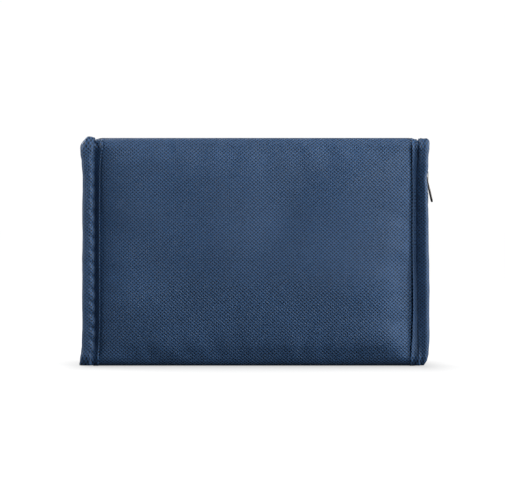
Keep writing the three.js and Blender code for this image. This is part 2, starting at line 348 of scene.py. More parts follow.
def thicken(piece, thickness, levels=0, offset=-1.0):
    """Gives a cloth its thickness, inwards from its face, and rounds its surface."""
    if levels:
        rounder = piece.modifiers.new("rounder", "SUBSURF")
        rounder.levels = levels
        rounder.render_levels = levels
        rounder.boundary_smooth = "PRESERVE_CORNERS"
    solid = piece.modifiers.new("thickness", "SOLIDIFY")
    solid.thickness = thickness
    solid.offset = offset


print("flat cuts keep a map of their own, in metres")

# %% [markdown]
# A fold is a path with rounded corners. `rounded_path` draws one from a few corner points,
# and a `Track` is walked by its length, so that cloth laid along it isn't stretched.


# %% Paths that are walked by length
def rounded_path(corners, radii, step=0.15 * MM):
    """Straight runs between the corners, each corner an arc of its own radius."""
    points = [Vector(corners[0])]
    for before, corner, after, radius in zip(corners, corners[1:], corners[2:], radii):
        corner = Vector(corner)
        back = (Vector(before) - corner).normalized()
        on = (Vector(after) - corner).normalized()
        half = back.angle(on) / 2
        centre = corner + (back + on).normalized() * (radius / math.sin(half))
        first = corner + back * (radius / math.tan(half)) - centre
        last = corner + on * (radius / math.tan(half)) - centre
        turn = -first.angle_signed(last)
        count = max(4, math.ceil(abs(turn) * radius / step))
        for i in range(count + 1):
            points.append(centre + Matrix.Rotation(turn * i / count, 2) @ first)
    points.append(Vector(corners[-1]))
    return points


class Track:
    """A path that knows how long it is."""

    def __init__(self, points):
        self.points = np.array([tuple(p) for p in points])
        steps = np.linalg.norm(np.diff(self.points, axis=0), axis=1)
        self.lengths = np.concatenate(([0.0], np.cumsum(steps)))
        self.length = float(self.lengths[-1])

    def at(self, s):
        """The point at length s, and the direction there."""
        i = int(np.clip(np.searchsorted(self.lengths, s) - 1, 0, len(self.points) - 2))
        a, b = self.points[i], self.points[i + 1]
        span = max(self.lengths[i + 1] - self.lengths[i], 1e-12)
        share = (s - self.lengths[i]) / span
        return Vector(a + (b - a) * share), Vector((b - a) / span)


def smooth(value, low, high):
    """0 below low, 1 above high, and a soft step between."""
    share = min(1.0, max(0.0, (value - low) / (high - low)))
    return share * share * (3 - 2 * share)


def table(pairs):
    """A smooth curve through (place, value) pairs, with its places in millimetres."""
    places = [p for p, _ in pairs]
    values = [v for _, v in pairs]

    def read(place):
        i = int(np.clip(np.searchsorted(places, place) - 1, 0, len(places) - 2))
        return values[i] + (values[i + 1] - values[i]) * smooth(place, places[i], places[i + 1])

    return read


print("paths can be walked by length")

# %% [markdown]
# ## The covers' outer cloth
# One cloth runs under the spine, round the fold, up the cover and over its top edge. On the
# real case it is stretched over thin foam, so it stands up in the middle and dips to its
# seams. The grid is laid along that path first, and dips at its sides: softly to the lips
# of the bindings, then steeply under them to the stitches.

# %% The line of a cover's cloth
CORNER = 7.0 * MM  # rounding of the covers at floor and top
UNDER_END = 7.5 * MM  # half of the spine that the spine's own cloth covers
SEAM_DIP = 1.0 * MM  # how far the cloth dips to the lips
DIP_REACH = 9.0 * MM  # how far in from the lips the dip starts
GROOVE_DIP = 3.5 * MM  # and further under the lips, to the stitches
CLOTH_THICK = 0.45 * MM
HEM_Y = -SEAM + 0.2 * MM  # where the cloth turns down beside the zip
HEM_DOWN = 2.2 * MM

cover_track = Track(
    rounded_path(
        [(-UNDER_END, 0.0), (-FACE, 0.0), (-FACE, TOP), (HEM_Y, TOP), (HEM_Y, TOP - HEM_DOWN)],
        [CORNER, CORNER - 0.5 * MM, 0.5 * MM],
    )
)
print("a cover's cloth is", round(cover_track.length / MM, 1), "mm long")


def seam_dip(x):
    """How far the cloth dips: softly up to the lip, then steeply under it to the stitches."""
    share = (abs(x) - (LIP_EDGE - DIP_REACH)) / DIP_REACH
    share = min(1.0, max(0.0, share))
    under = max(0.0, abs(x) - LIP_EDGE) / (CLOTH_HALF - LIP_EDGE)
    return SEAM_DIP * share * share + GROOVE_DIP * under


# %% [markdown]
# A cloth simulation with a little pressure behind it and its seams held gives the padded
# swell. It could be shaped by hand too, but the simulation knows how cloth shares out its
# slack. It is unstable on something as small as this case, so it works on a larger copy.

# %% Blow a cloth out
SWELL_SCALE = 10.0  # the simulation's copy is this many times larger
SWELL_PRESSURE = 1.6
SWELL_SLACK = 0.004  # how much larger the cloth is than its path, as a share
SWELL_FRAMES = 16
START_WAVE = 0.9 * MM  # slight waves that the simulation starts from


def swell(piece, held, seed):
    """Blows the cloth out against its held points, and gives its points before and after."""
    mesh = piece.data
    rest = np.array([v.co for v in mesh.vertices])
    wave = [noise.noise(Vector(p) * 28 + Vector((0, seed, 0))) * START_WAVE for p in rest]
    normals = np.array([v.normal for v in mesh.vertices])
    free = 1.0 - np.array(held)
    start = (rest + normals * (np.array(wave) * free)[:, None]) * SWELL_SCALE
    mesh.vertices.foreach_set("co", start.ravel())
    mesh.update()
    group = piece.vertex_groups.new(name="held")
    for i, weight in enumerate(held):
        group.add([i], weight, "REPLACE")
    cloth = piece.modifiers.new("swell", "CLOTH")
    how = cloth.settings
    how.quality = 7
    how.mass = 0.35
    how.air_damping = 2.0
    how.tension_stiffness = 40.0
    how.compression_stiffness = 40.0
    how.shear_stiffness = 25.0
    how.bending_stiffness = 12.0
    how.vertex_group_mass = "held"
    how.shrink_min = -SWELL_SLACK
    how.use_pressure = True
    how.uniform_pressure_force = SWELL_PRESSURE
    how.effector_weights.gravity = 0.0
    cloth.collision_settings.use_collision = False
    cloth.point_cache.frame_start = 1
    cloth.point_cache.frame_end = SWELL_FRAMES
    scene = bpy.context.scene
    for number in range(1, SWELL_FRAMES + 1):
        scene.frame_set(number)
    seen = piece.evaluated_get(bpy.context.evaluated_depsgraph_get())
    blown = np.array([v.co for v in seen.data.vertices]) / SWELL_SCALE
    piece.modifiers.remove(cloth)
    piece.vertex_groups.remove(group)
    scene.frame_set(1)
    return rest, blown


print("the simulation runs for", SWELL_FRAMES, "frames")

# %% [markdown]
# A case that has been filled and emptied keeps slow waves in its cloth. A few are listed
# on top of the swell, because their places matter: each is a round or long hill, or a
# hollow where its rise is less than nothing.

# %% The slow waves of the cloths
# x, height, reach across and up, lean in degrees, rise. All but the lean are in millimetres.
FRONT_WAVES = [
    (6, 84, 62, 82, 0, 2.3),
    (-26, 78, 20, 34, -35, 2.21),
    (16, 98, 14, 30, -40, -2.04),
    (62, 113, 17, 30, -40, 2.55),
    (-62, 112, 18, 26, -30, -1.19),
    (80, 56, 32, 20, 14, 1.9),
    (90, 18, 24, 12, 0, 1.7),
    (-70, 40, 26, 16, 20, 1.53),
    (34, 70, 52, 34, -4, 1.9),
]
BACK_WAVES = [
    (0, 76, 64, 100, 0, 1.5),
    (-58, 104, 22, 30, 35, 2.04),
    (-14, 84, 18, 32, 30, -1.7),
    (34, 70, 22, 30, 25, 2.21),
    (74, 110, 18, 24, 20, -1.36),
    (66, 34, 30, 13, -20, 1.7),
    (-50, 30, 30, 14, 15, -1.19),
]


def waves_at(x, z, waves):
    """How far the cloth stands out here, the sum of its swells and hollows."""
    rise = 0.0
    for middle_x, middle_z, across, up, lean, height in waves:
        dx, dz = x / MM - middle_x, z / MM - middle_z
        turn = math.radians(lean)
        a = (dx * math.cos(turn) + dz * math.sin(turn)) / across
        b = (-dx * math.sin(turn) + dz * math.cos(turn)) / up
        rise += height * MM * math.exp(-(a * a + b * b))
    return rise


def stand_out(rest, waves):
    """The swells and hollows, fading out before the seams, the floor and the top."""
    shift = []
    for x, y, z in rest:
        side = 1 - smooth(abs(x), LIP_EDGE - 16 * MM, LIP_EDGE - 1 * MM)
        level = smooth(z, 4 * MM, 14 * MM) * (1 - smooth(z, TOP - 16 * MM, TOP - 4 * MM))
        shift.append(waves_at(x, z, waves) * side * level if y < -SEAM - 1 * MM else 0.0)
    return np.array(shift)


SWELL_MOST = 3.2 * MM  # the foam allows no more
TINY = 1e-9


def cap_swell(piece, rest, blown, waves):
    """Lets no point blow out further than the foam allows, and adds the slow waves."""
    moves = blown - rest
    size = np.linalg.norm(moves, axis=1)
    capped = SWELL_MOST * np.tanh(size / SWELL_MOST)
    limit = np.where(size > TINY, capped / np.maximum(size, TINY), 1.0)
    final = rest + moves * limit[:, None]
    final[:, 1] -= stand_out(rest, waves)
    final[:, 2] = np.maximum(final[:, 2], 0.0)
    piece.data.vertices.foreach_set("co", final.ravel())
    piece.data.update()
    print(piece.name, "swells by up to", round(float((size * limit).max()) / MM, 2), "mm")


# %% [markdown]
# Now the cloths themselves. Their sides, foot and top are held while they are blown out.

# %% Lay and swell the outer cloths
COVER_STEP = 2.4 * MM  # spacing of the cloth's grid


def clamp(share):
    return min(1.0, max(0.0, share))


def held_by_seams(point):
    """How firmly the seams hold a point, from 0, free, to 1 at the sides, the foot and the top."""
    side = clamp((abs(point.x) - LIP_EDGE + 1.0 * MM) / (1.5 * MM))
    low = clamp((5 * MM - point.z) / (4 * MM))
    high = clamp((point.z - (TOP - 4 * MM)) / (3 * MM))
    return max(side, low, high)


def cover_cloth(cover, seed, waves):
    bm = flat_cut(2 * CLOTH_HALF, cover_track.length, COVER_STEP, COVER_STEP)

    def place(across, along):
        (y, z), (dy, dz) = cover_track.at(along)
        # The side seams are shallow where the cloth turns over the floor and the top.
        level = smooth(z, 1 * MM, 9 * MM) * (1 - 0.85 * smooth(z, TOP - 6 * MM, TOP - 1 * MM))
        dip = seam_dip(across) * level
        # The inward normal of the path is its direction turned a quarter round.
        return Vector((across, y + dz * dip, max(z - dy * dip, 0.0)))

    lay(bm, place)
    held = [held_by_seams(vert.co) for vert in bm.verts]
    piece = make_piece(bm, f"{cover}_cover_cloth", NAVY_CLOTH)
    rest, blown = swell(piece, held, seed)
    cap_swell(piece, rest, blown, waves)
    if cover == "back":
        bm = bmesh.new()
        bm.from_mesh(piece.data)
        half_turn(bm)
        bm.to_mesh(piece.data)
        bm.free()
    thicken(piece, CLOTH_THICK, levels=1)
    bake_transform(piece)
    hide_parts(f"{cover}_outer_skin")


cover_cloth("front", 3, FRONT_WAVES)
cover_cloth("back", 8, BACK_WAVES)
print("both covers have their cloth")

# %% [markdown]
# ## Bound side edges
# Each side edge is closed by a folded strip of the same cloth: a flat lip stitched down on
# the cover, a deep groove where the stitches pull it in, and a full roll round the raw
# edges. The strip is one flat cut. Across, it follows the section of lip, groove and roll.
# Along, it goes under the spine, up the cover, over the top and tucks in at its tip.

# %% The section and the line of a binding
BINDING_THICK = 0.35 * MM
MIDDLE_V = 3.5  # the roll's middle line, out from the seam plane, in millimetres
ROLL_MIDDLE = MIDDLE_V * MM
MIDDLE_RADIUS = 4.1 * MM
PUCKER = 8.45 * MM  # distance between the pinches of the stitching

RISE = FACE - SEAM
mid_y = -(SEAM + ROLL_MIDDLE)
mid_low, mid_high = RISE - ROLL_MIDDLE, TOP - RISE + ROLL_MIDDLE
binding_line = Track(
    rounded_path(
        [(-UNDER_END, mid_low), (mid_y, mid_low), (mid_y, mid_high), (-SEAM + 1.0 * MM, mid_high)],
        [MIDDLE_RADIUS, MIDDLE_RADIUS],
    )
)
bend_ends = (-UNDER_END - (mid_y + MIDDLE_RADIUS)) + MIDDLE_RADIUS * math.pi / 2
HEIGHT_SHIFT = mid_low + MIDDLE_RADIUS - bend_ends  # turns a length along the line into a height

# The plain section, in millimetres: u is |x| and v stands out from the seam plane.
RIDGE_U, GROOVE_U, TUBE_U, OUTER_U = 101.3, 105.7, 109.0, 113.6
GROOVE_V = 3.2
GROOVE_FILL = 2.0  # how much higher a groove with no depth is
LIP_V = 7.2
LOWEST = 0.35 * MM  # keeps the underside off the floor
section_corners = [
    (104.2, 3.75),
    (101.5, 6.2),
    (101.35, 7.2),
    (105.7, 3.2),
    (106.4, 7.6),
    (113.6, 7.7),
    (113.6, -0.1),
    (106.3, -0.1),
    (105.8, 1.75),
    (101.5, 1.5),
]
section = Track(
    rounded_path(
        [(u * MM, v * MM) for u, v in section_corners],
        [r * MM for r in (0.25, 0.4, 0.4, 2.2, 3.4, 3.2, 1.5, 0.4)],
    )
)
print("a binding strip is", round(section.length / MM, 1), "mm wide before folding")

# %% [markdown]
# The hand-sewn edge wanders. Tables say how, with a value at each of a few heights: where
# the roll widens into an ear, thins beside the sliders, flares on the floor or rounds off.
# - outer, ridge and groove: where the roll ends, the lip ends and the stitches run.
# - depth: how deep the groove is, from 0 to 1 and past it.
# - height: how thick the roll is, as a share. lean: how slowly it rises from the groove.
# - flat: how far the lip and the groove are pressed level near the floor, from 0 to 1.
# - lip and hollow: how much the lip's end lifts, and how much its middle sinks.
# - spread and crown: how far the roll's face flares out, and how much it rounds off.
# - pucker: how hard the stitches pinch.

# %% How the two edges wander
# Heights are in millimetres, and so is every value that isn't a share.
LEFT_EDGE = {
    "outer": [
        (-2, 114.4), (3.0, 114.9), (6, 114.8), (9, 114.5), (14, 114.2), (30, 113.8), (90, 113.6),
        (126, 113.5), (134, 114.0), (139, 114.8), (144, 115.0), (146.0, 114.4), (147.5, 113.4),
        (149.5, 112.4),
    ],
    "ridge": [
        (-2, 102.9), (5, 102.8), (14, 102.3), (30, 101.8), (100, 101.9), (130, 101.5), (138, 100.8),
        (144, 99.8), (149.5, 99.2),
    ],
    "groove": [
        (-2, 109.0), (4, 108.6), (7, 107.6), (12, 106.5), (18, 106.3), (136, 106.2), (149.5, 105.7),
    ],
    "depth": [
        (-2, -0.8), (1.5, -0.6), (5, 0.1), (9, 0.7), (14, 1.2), (40, 1.35), (120, 1.4), (138, 1.25),
        (145, 0.3), (149.5, -0.2),
    ],
    "height": [(-2, 0.92), (8, 0.95), (30, 1.0), (143, 1.02), (148, 1.12), (149.5, 1.12)],
    "flat": [(-2, 1.0), (0.5, 0.85), (3, 0.35), (6, 0.0), (149.5, 0.0)],
    "lean": [(-2, 0.0), (149.5, 0.0)],
    "hollow": [(-2, 0.0), (8, 0.2), (20, 0.6), (136, 0.6), (146, 0.1), (149.5, 0.0)],
    "lip": [(-2, 0.2), (8, 0.0), (138, 0.0), (145, 0.4), (149.5, 0.4)],
    "spread": [(-2, 2.6), (2, 2.3), (5, 1.0), (10, 0.0), (149.5, 0.0)],
    "crown": [(-2, 0.0), (141, 0.0), (147, 0.65), (149.5, 0.65)],
    "pucker": [
        (-2, 0.0), (8, 0.4), (20, 1.1), (42, 1.0), (62, 0.65), (120, 0.5), (136, 0.5), (146, 0.0),
    ],
}
RIGHT_EDGE = {
    "outer": [
        (-2, 110.2), (0.0, 110.0), (1.0, 110.3), (2.6, 111.6), (5, 112.7), (8, 113.4), (17, 113.9),
        (43, 113.9), (80, 113.5), (100, 113.1), (116, 112.7), (123.5, 112.2), (130, 113.1),
        (137, 113.1), (143, 113.9), (149.5, 114.2),
    ],
    "ridge": [
        (-2, 100.6), (4, 100.9), (12, 101.6), (22, 102.4), (40, 102.9), (90, 102.5), (110, 102.6),
        (140, 102.2), (149.5, 101.4),
    ],
    "groove": [(-2, 106.3), (30, 106.0), (70, 105.3), (125, 105.2), (140, 106.4), (149.5, 107.2)],
    "depth": [
        (-2, -0.8), (2, -0.6), (6, 0.0), (14, 0.45), (40, 0.9), (80, 1.3), (110, 1.35), (138, 1.1),
        (145, 0.3), (149.5, 0.0),
    ],
    "height": [(-2, 0.92), (20, 0.97), (141, 1.0), (145.5, 0.9), (149.5, 0.76)],
    "flat": [(-2, 1.0), (0.5, 0.85), (3, 0.4), (8, 0.0), (149.5, 0.0)],
    "hollow": [(-2, 0.0), (10, 0.0), (50, 0.5), (75, 1.3), (128, 1.3), (142, 0.3), (149.5, 0.0)],
    "lean": [(-2, 0.3), (14, 0.6), (40, 0.72), (100, 0.8), (125, 0.8), (138, 0.4), (149.5, 0.2)],
    "lip": [(-2, 0.2), (8, 0.0), (138, 0.0), (145, 0.4), (149.5, 0.4)],
    "spread": [(-2, 0.0), (149.5, 0.0)],
    "crown": [(-2, 0.1), (20, 0.0), (149.5, 0.0)],
    "pucker": [(-2, 0.05), (30, 0.15), (100, 0.25), (140, 0.15), (146, 0.0)],
}


def edge_style(tables):
    """The tables as curves that can be read at any height."""
    return {name: table(pairs) for name, pairs in tables.items()}


sides = {"left": (-1, edge_style(LEFT_EDGE)), "right": (1, edge_style(RIGHT_EDGE))}
print("each edge follows", len(LEFT_EDGE), "tables")

# %% [markdown]
# Each point of the plain section is moved by the tables. The strip is the same on the back
# cover, and it is made as a front one and turned half round.


# %% Shape and make the bindings
STRIP_STEP = (0.55 * MM, 0.8 * MM)  # spacing of the strip's grid, across and along
TUCK = 2.8 * MM  # the length in which the tip closes
HALF_ROLL = 4.2  # half the roll's thickness, in millimetres, as the next four
GROOVE_REACH = 1.5  # how wide the groove is
PINCH_AT, PINCH_REACH = 1.0, 1.6  # how far past the groove the stitches pinch, and how widely
LUMP, CREASE = 0.35, 0.12  # how far slow and fine unevenness moves the cloth
ROLL_U = 106.5  # past this the unevenness moves the roll sideways too
CREST = 0.75  # where a leaning roll is highest, as a share of its width


def bound_point(style, u, v, height, seed):
    """Moves one point of the plain section to its place in the hand-sewn one (all in mm)."""
    front = 1.0 if v > GROOVE_V else 0.0
    # The inner side keeps the plain groove and lip. The outer side follows the tables.
    groove = style["groove"](height) if front else GROOVE_U
    ridge = style["ridge"](height) if front else RIDGE_U
    outer = style["outer"](height)
    if u < GROOVE_U:
        share = (GROOVE_U - u) / (GROOVE_U - RIDGE_U)
        u = groove - share * (groove - ridge)
        v += (style["lip"](height) * share - style["hollow"](height) * 4 * share * (1 - share)) * front
    else:
        share = (u - GROOVE_U) / (OUTER_U - GROOVE_U)
        start = groove if front else GROOVE_U
        u = start + share * (outer - start)
        out = max(0.0, v - MIDDLE_V) / HALF_ROLL
        u += style["spread"](height) * out * share
        v = MIDDLE_V + (v - MIDDLE_V) * (1.0 - style["crown"](height) * (2 * share - 0.95) ** 2)
        if front:
            # A leaning roll rises slowly from the groove to its crest.
            rise = 1.0 - style["lean"](height) * max(0.0, 1.0 - share / CREST)
            v = GROOVE_V + (v - GROOVE_V) * rise
    if front and share < 1.0 and u < groove + GROOVE_REACH:
        v += (LIP_V - v) * style["flat"](height)
    near_groove = math.exp(-(((u - groove) / GROOVE_REACH) ** 2)) * front
    v += GROOVE_FILL * (1.0 - style["depth"](height)) * near_groove
    # Each pinch is sharp and the cloth between two pinches is round.
    pinch = 1.0 - 2.0 * abs(math.sin(math.pi * height / (PUCKER / MM))) ** 0.7
    sewn = math.exp(-(((u - groove - PINCH_AT) / PINCH_REACH) ** 2)) * front
    u += style["pucker"](height) * pinch * sewn
    v -= 0.5 * style["pucker"](height) * pinch * sewn
    if u > groove and front:
        v = MIDDLE_V + (v - MIDDLE_V) * style["height"](height)
    lump = noise.noise(Vector((u * 0.05, seed, height * 0.07)))
    crease = noise.noise(Vector((u * 0.25, seed + 5.0, height * 0.22)))
    reach = LUMP * lump + CREASE * crease
    if u > ROLL_U:
        u += reach * 0.7
    v += reach * 0.8 * front
    return u, v


def binding_cloth(side, style, line, seed, shift):
    """shift turns a length along the line into a height. Without one the tip stays open."""
    width = section.length
    bm = flat_cut(width, line.length, *STRIP_STEP)

    def place(across, along):
        u, v = section.at(across + width / 2)[0] / MM
        height = (along + shift) / MM
        u, v = bound_point(style, u, v, height, seed)
        out = v * MM - ROLL_MIDDLE
        if shift and along > line.length - TUCK:
            share = (along - line.length + TUCK) / TUCK
            close = math.sqrt(max(0.0, 1.0 - share**2.6))
            out *= max(close, 0.03)
            if u > GROOVE_U:
                u = TUBE_U + (u - TUBE_U) * (0.35 + 0.65 * close)
        (y, z), (dy, dz) = line.at(along)
        return Vector((side * u * MM, y - dz * out, max(z + dy * out, LOWEST)))

    lay(bm, place)
    if side < 0:
        bmesh.ops.reverse_faces(bm, faces=bm.faces)
    return bm


def bind_edge(cover, label, side, style, seed):
    # The half turn swaps the sides.
    own_side = side if cover == "front" else -side
    bm = binding_cloth(own_side, style, binding_line, seed, HEIGHT_SHIFT)
    if cover == "back":
        half_turn(bm)
    piece = make_piece(bm, f"{cover}_{label}_edge_binding", NAVY_BINDING)
    thicken(piece, BINDING_THICK)
    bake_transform(piece)
    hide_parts(f"{cover}_{label}_binding")


for number, cover in enumerate(("front", "back")):
    for label, (side, style) in sides.items():
        bind_edge(cover, label, side, style, seed=2.0 + 7 * number + side)
print("each binding is", round(binding_line.length / MM, 1), "mm long")

# %% [markdown]
# The same strip crosses each short end of the spine. Its ends meet the covers' strips, so
# it uses their section at the floor.

# %% The spine's bound ends
SPINE_LAP = 0.3 * MM  # how far the spine's strip goes under the covers' ones
spine_half = UNDER_END + SPINE_LAP
spine_line = Track([Vector((spine_half, mid_low)), Vector((-spine_half, mid_low))])


def at_the_floor(read):
    """A table with the value that another has at the floor, at every height."""
    return table([(-2, read(-2)), (150, read(-2))])


for label, (side, style) in sides.items():
    level = {key: at_the_floor(read) for key, read in style.items()}
    bm = binding_cloth(side, level, spine_line, 4.0 + side, 0.0)
    piece = make_piece(bm, f"spine_{label}_edge_binding", NAVY_BINDING)
    thicken(piece, BINDING_THICK)
    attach(piece, "base")
    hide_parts(f"base_{label}_binding")
print("the spine's strips are", round(spine_line.length / MM, 1), "mm long")

# %% [markdown]
# The spine's cloth lies flat on the floor between the two covers' cloths.

# %% The spine's outer cloth
bm = flat_cut(2 * CLOTH_HALF, 2 * UNDER_END, 3 * MM, 1.5 * MM)
lay(bm, lambda across, along: Vector((across, UNDER_END - along, 0.0)))
piece = make_piece(bm, "spine_cloth", NAVY_CLOTH)
thicken(piece, CLOTH_THICK)
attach(piece, "base")
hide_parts("base_skin")
print("the spine's cloth is", round(2 * UNDER_END / MM, 1), "mm wide")

# %% [markdown]
# ## Foam and board
# Thin foam sheets fill the covers and the spine, and a fibre board keeps the spine flat.
# They are hardly ever seen, so a block with soft edges is enough: it starts as a cube,
# takes the size of its solid and gets its edges bevelled.


# %% The foam sheets and the spine board
def soft_block(name, node, material, edge, pinch=(0.0, 0.0, 0.0)):
    """pinch: how much the whole block is smaller than its solid, each way."""
    low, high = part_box(node)
    bm = bmesh.new()
    bmesh.ops.create_cube(bm, size=1.0)
    bmesh.ops.scale(bm, verts=bm.verts, vec=high - low - Vector(pinch))
    bmesh.ops.translate(bm, verts=bm.verts, vec=(high + low) / 2)
    bmesh.ops.bevel(
        bm, geom=bm.edges[:], offset=edge, segments=3, profile=0.5, affect="EDGES", material=-1
    )
    piece = make_piece(bm, name, material)
    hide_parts(node)
    return piece


FOAM_PINCH = (9 * MM, 0.2 * MM, 0.0)  # the seams press the foam thin at its sides
foams = {"front_foam": "front_cover", "back_foam": "back_cover", "base_foam": "base"}
for node, body in foams.items():
    piece = soft_block(f"{node}_sheet", node, FOAM, 0.4 * MM, pinch=FOAM_PINCH)
    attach(piece, body)

board = soft_block("spine_board", "base_board", BOARD, 0.25 * MM)
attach(board, "base")
print(len(foams), "foam sheets and a board made")

# %% [markdown]
# ## Threads
# A stitch is a short length of thread with both ends pulled down into the cloth. One stitch
# is a slim stretched ball. A seam is many of them in a row, joined in one mesh, and each
# has only a few faces because there are so many.


# %% A helper for stitched seams
STITCH_RADIUS = 0.2 * MM


def seam(name, rows, body, length=2.5 * MM, radius=STITCH_RADIUS):
    """rows: (point, direction) for every stitch."""
    bm = bmesh.new()
    for point, direction in rows:
        made = bmesh.ops.create_uvsphere(bm, u_segments=6, v_segments=4, radius=1.0)
        turn = direction.to_track_quat("Z", "Y").to_matrix().to_4x4()
        shape = Matrix.Diagonal((radius, radius, length / 2, 1.0))
        bmesh.ops.transform(bm, matrix=Matrix.Translation(point) @ turn @ shape, verts=made["verts"])
    piece = make_piece(bm, name, NAVY_THREAD)
    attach(piece, body)


def stitch_line(start, end, pitch):
    """Evenly spaced stitches from start to end."""
    start, end = Vector(start), Vector(end)
    count = max(1, round((end - start).length / pitch))
    direction = (end - start).normalized()
    return [(start.lerp(end, (i + 0.5) / count), direction) for i in range(count)]


print("a stitch is", round(2 * STITCH_RADIUS / MM, 2), "mm thick")

# %% [markdown]
# Both bound edges are sewn down in their grooves, and the stitches pull the roll in where
# they pass.

# %% The stitches in the grooves
GROOVE_PITCH = PUCKER / 2
SEWN_FROM, SEWN_TO = 12 * MM, 138 * MM  # heights of the first and the last stitch
STITCH_V = 3.3


def groove_seam(cover, label, side, style):
    out = -1 if cover == "front" else 1
    rows = []
    for point, direction in stitch_line((0, 0, SEWN_FROM), (0, 0, SEWN_TO), GROOVE_PITCH):
        height = point.z / MM
        depth_v = STITCH_V + GROOVE_FILL * (1.0 - style["depth"](height))
        x = side * style["groove"](height) * MM
        rows.append((Vector((x, out * (SEAM + depth_v * MM), point.z)), direction))
    seam(f"{cover}_{label}_groove_stitches", rows, f"{cover}_cover", length=2.9 * MM)
    return len(rows)


for cover in ("front", "back"):
    for label, (side, style) in sides.items():
        groove_count = groove_seam(cover, label, side, style)
print("each groove has", groove_count, "stitches")

# %% [markdown]
# ## Linings
# A thin woven lining covers the foam. It comes off the spine's lining, turns up the cover
# and ends under the zip tape. Its sides are caught under the bindings.

# %% The linings
LINING_THICK = 0.3 * MM
LINING_FLAT_END = 7.5 * MM  # half of the spine that the spine's own lining covers
LINING_BEND = 4.0 * MM
LINING_WAVE = 0.35 * MM
base_lining_z = base_lining_high.z
tape_under = tape_high.z - 0.9 * MM

lining_track = Track(
    rounded_path(
        [
            (-LINING_FLAT_END, base_lining_z),
            (-LINING_Y, base_lining_z),
            (-LINING_Y, tape_under),
            (-SEAM + 1.0 * MM, tape_under),
        ],
        [LINING_BEND, 1.5 * MM],
    )
)


def soft_wave(x, z, seed, size):
    """Slow, uneven waves of loosely held cloth."""
    return noise.noise(Vector((x * 22.0, seed, z * 22.0))) * size


def lining(cover, seed):
    half = lining_high.x
    bm = flat_cut(2 * half, lining_track.length, 3.0 * MM, 1.6 * MM)

    def place(across, along):
        (y, z), (dy, dz) = lining_track.at(along)
        lift = soft_wave(across, along, seed, LINING_WAVE) * min(1.0, along / (12 * MM))
        return Vector((-across, y - dz * lift, z + dy * lift))

    lay(bm, place)
    if cover == "back":
        half_turn(bm)
    piece = make_piece(bm, f"{cover}_cover_lining", LINING_CLOTH)
    thicken(piece, LINING_THICK)
    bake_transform(piece)
    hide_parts(f"{cover}_lining")


for number, cover in enumerate(("front", "back")):
    lining(cover, 11.0 + number)
print("a cover's lining is", round(lining_track.length / MM, 1), "mm long")

bm = flat_cut(2 * base_lining_high.x, 2 * LINING_FLAT_END, 3.0 * MM, 1.5 * MM)
lay(bm, lambda across, along: Vector((across, along - LINING_FLAT_END, base_lining_z)))
spine_lining = make_piece(bm, "spine_lining", LINING_CLOTH)
thicken(spine_lining, LINING_THICK)
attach(spine_lining, "base")
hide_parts("base_lining")

# %% [markdown]
# ## Pockets
# A pocket is a rectangle of lining cloth, sewn down on three sides. Its mouth is bound with
# a folded strip of the outer cloth. Slack in the cloth lets the mouth stand off a little in
# the middle. The card pockets overlap like roof tiles, so each one starts a layer further
# out than the one above it.

# %% Make a pocket and its trim
TRIM_THICK = 0.25 * MM
POCKET_THICK = 0.25 * MM
TRIM_HEM = 4.5 * MM  # how much further the trim goes down inside than outside
TRIM_FOLD = 0.6 * MM  # distance between the trim's two sides
POCKET_WAVE = 0.25 * MM
SUNK = 0.02 * MM  # how little a stitch's middle stands out of the cloth


